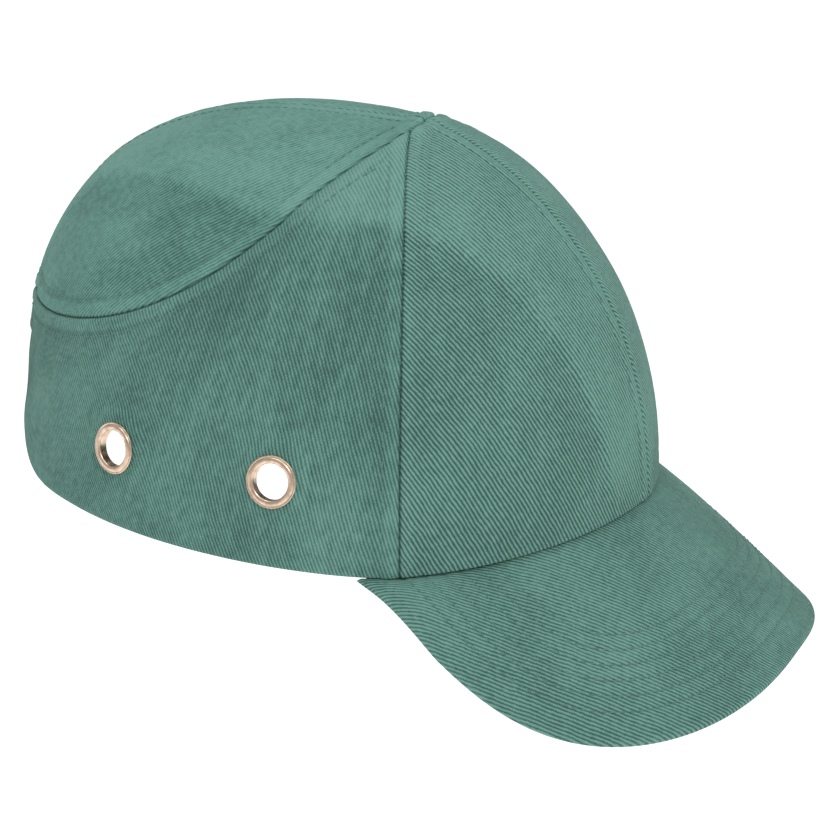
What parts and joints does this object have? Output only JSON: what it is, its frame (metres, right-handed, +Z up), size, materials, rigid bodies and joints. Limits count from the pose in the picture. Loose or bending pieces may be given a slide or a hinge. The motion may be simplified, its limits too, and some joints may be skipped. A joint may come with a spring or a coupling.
{
  "type": "bump cap",
  "caption": "Baseball-style bump cap: twill crown with a curved visor, metal vent eyelets, a rear strap and a removable padded hard shell.",
  "frame": {"origin": "centre of the head opening, level with the bottom of the crown's wall", "axes": "+Z up, the visor points along -Y, +X is the wearer's left"},
  "size_m": [0.1788, 0.2743, 0.1646],
  "materials": {
    "twill": "cotton twill, washed",
    "visor_twill": "cotton twill",
    "visor_board": "stiff sheet, hidden between the covers",
    "seam_tape": "woven tape",
    "sweatband": "soft woven band",
    "eyelet_metal": "copper-toned, polished",
    "strap": "woven strap",
    "hook_and_loop": "hook and loop pile",
    "shell_plastic": "moulded, fine texture",
    "foam": "closed-cell foam"
  },
  "bodies": {
    "cap": {"arch_binding": "seam_tape", "crown_centre_tape": "seam_tape", "crown_panel_left": "twill", "crown_panel_right": "twill", "crown_side_tape_left": "seam_tape", "crown_side_tape_right": "seam_tape", "eyelet_front_left": "eyelet_metal", "eyelet_front_right": "eyelet_metal", "eyelet_rear_left": "eyelet_metal", "eyelet_rear_right": "eyelet_metal", "front_centre_tape": "seam_tape", "front_panel_left": "twill", "front_panel_right": "twill", "front_side_tape_left": "seam_tape", "front_side_tape_right": "seam_tape", "loop_patch": "hook_and_loop", "loop_strap": "strap", "side_panel_left": "twill", "side_panel_right": "twill", "strap_anchor": "strap", "sweatband": "sweatband", "visor_board": "visor_board", "visor_top_cover": "visor_twill", "visor_under_cover": "visor_twill", "washer_front_left": "eyelet_metal", "washer_front_right": "eyelet_metal", "washer_rear_left": "eyelet_metal", "washer_rear_right": "eyelet_metal"},
    "insert": {"impact_shell": "shell_plastic", "front_pad": "foam", "rear_pad": "foam", "side_pad_left": "foam", "side_pad_right": "foam", "top_pad": "foam"},
    "strap_tab": {"strap_tab": "strap", "hook_patch": "hook_and_loop"}
  },
  "joints": [
    {"name": "insert_slide", "type": "slide", "parent": "cap", "child": "insert", "axis": [0, 0, -1], "range_m": [0, 0.17]},
    {"name": "strap_peel", "type": "hinge", "parent": "cap", "child": "strap_tab", "pos_m": [-0.03578, 0.10806, 0.025], "axis": [0, 0, 1], "range_deg": [0, 75]}
  ]
}
